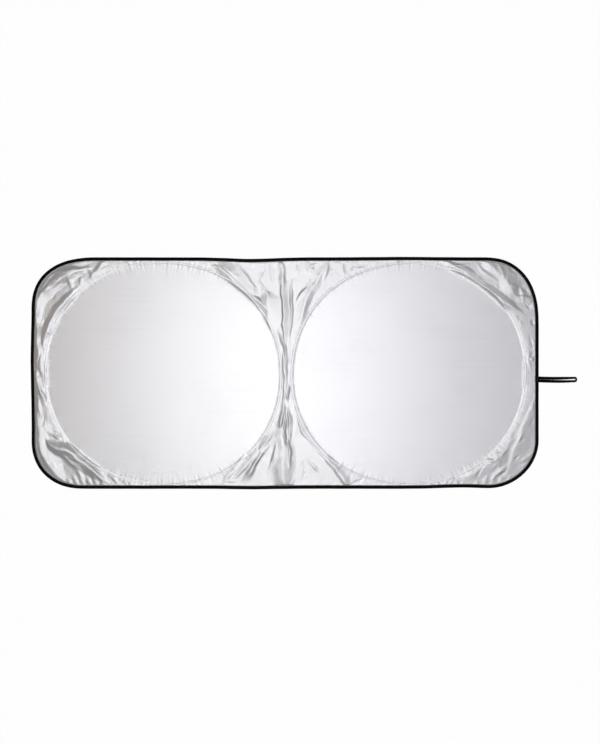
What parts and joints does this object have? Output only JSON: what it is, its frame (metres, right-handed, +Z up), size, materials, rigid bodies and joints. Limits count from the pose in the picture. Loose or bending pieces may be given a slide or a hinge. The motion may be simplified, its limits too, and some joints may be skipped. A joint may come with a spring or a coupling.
{
  "type": "car windscreen sunshade",
  "caption": "Flat rectangular silver cloth windscreen shade with rounded corners, sprung open by round wire hoops in sewn casings, black edge binding and an elastic loop at one side.",
  "frame": {"origin": "middle of the whole open shade, loop included, on the surface it lies on", "axes": "+X along the length towards the elastic loop, +Y across the shade towards its top edge, +Z up, out of the silver side"},
  "size_m": [1.6168, 0.688, 0.0122],
  "materials": {
    "silver_cloth": "aluminium-coated polyester taffeta with a soft satin sheen",
    "black_tape": "matt woven polyester binding tape",
    "black_thread": "matt twisted polyester thread",
    "spring_steel": "drawn spring steel wire",
    "crimp_steel": "zinc-plated crimp tube",
    "grey_tape": "plain light grey woven tape",
    "grey_thread": "light grey twisted polyester thread",
    "black_elastic": "flat knitted elastic with fine ribs along its length"
  },
  "bodies": {
    "root": {"front_panel": "silver_cloth", "edge_binding": "black_tape", "binding_seam": "black_thread", "left_hoop_wire": "spring_steel", "left_hoop_ferrule": "crimp_steel", "left_casing_tape": "grey_tape", "left_casing_inner_seam": "grey_thread", "left_casing_outer_seam": "grey_thread", "right_hoop_wire": "spring_steel", "right_hoop_ferrule": "crimp_steel", "right_casing_tape": "grey_tape", "right_casing_inner_seam": "grey_thread", "right_casing_outer_seam": "grey_thread", "elastic_loop": "black_elastic", "loop_bar_tack": "black_thread"}
  },
  "joints": []
}
